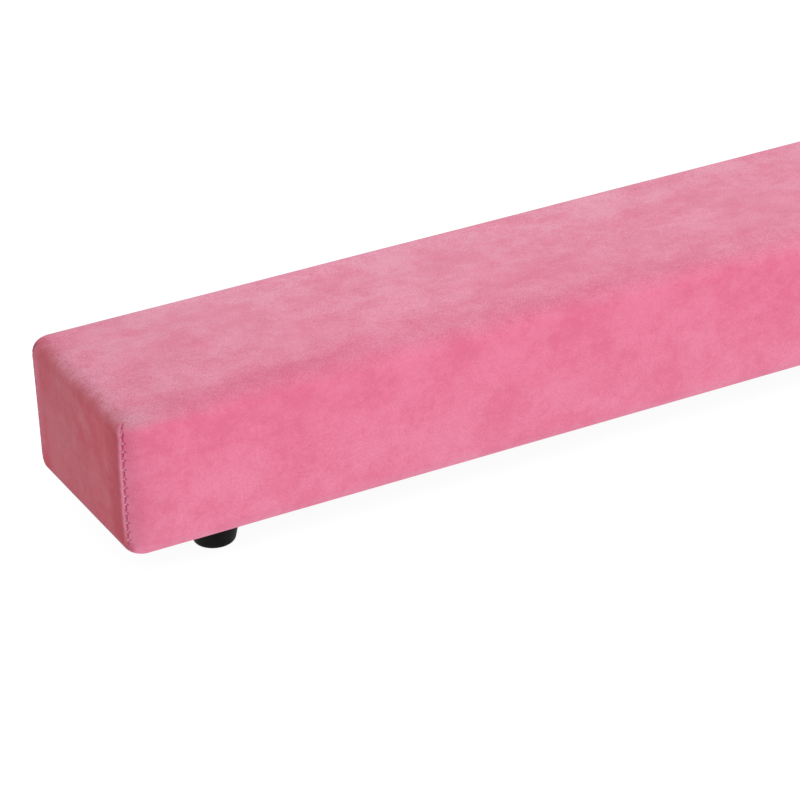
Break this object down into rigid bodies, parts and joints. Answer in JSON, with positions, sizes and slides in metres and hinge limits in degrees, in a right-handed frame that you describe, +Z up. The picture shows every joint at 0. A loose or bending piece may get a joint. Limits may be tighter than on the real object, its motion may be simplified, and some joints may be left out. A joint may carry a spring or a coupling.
{
  "type": "balance beam",
  "caption": "Low floor balance beam: a long, firm padded bar with rounded edges, covered in pink suede with stitched corners, standing on small black rubber feet.",
  "frame": {"origin": "on the floor, under the middle of the beam", "axes": "+X along the beam to its right end, +Z up, so the front long side faces -Y"},
  "size_m": [2.4384, 0.1016, 0.0787],
  "materials": {
    "pink_suede": "synthetic suede with a short brushed nap",
    "pink_thread": "twisted polyester thread",
    "foam": "closed-cell foam",
    "plywood": "raw, sanded",
    "black_fabric": "non-woven, matt",
    "black_rubber": "moulded, satin",
    "zinc_steel": "zinc plated",
    "staple_wire": "galvanised wire"
  },
  "bodies": {
    "root": {"core_board_bottom": "plywood", "core_board_middle": "plywood", "core_board_top": "plywood", "core_screws": "zinc_steel", "foam_top_pad": "foam", "foam_front_pad": "foam", "foam_back_pad": "foam", "foam_left_end_pad": "foam", "foam_right_end_pad": "foam", "suede_cover": "pink_suede", "seam_thread_left_front": "pink_thread", "seam_thread_left_back": "pink_thread", "seam_thread_right_front": "pink_thread", "seam_thread_right_back": "pink_thread", "cover_staples": "staple_wire", "underside_cover": "black_fabric", "underside_staples": "staple_wire", "rubber_foot_left_front": "black_rubber", "rubber_foot_left_back": "black_rubber", "rubber_foot_middle_front": "black_rubber", "rubber_foot_middle_back": "black_rubber", "rubber_foot_right_front": "black_rubber", "rubber_foot_right_back": "black_rubber", "foot_washers": "zinc_steel", "foot_screws": "zinc_steel"}
  },
  "joints": []
}
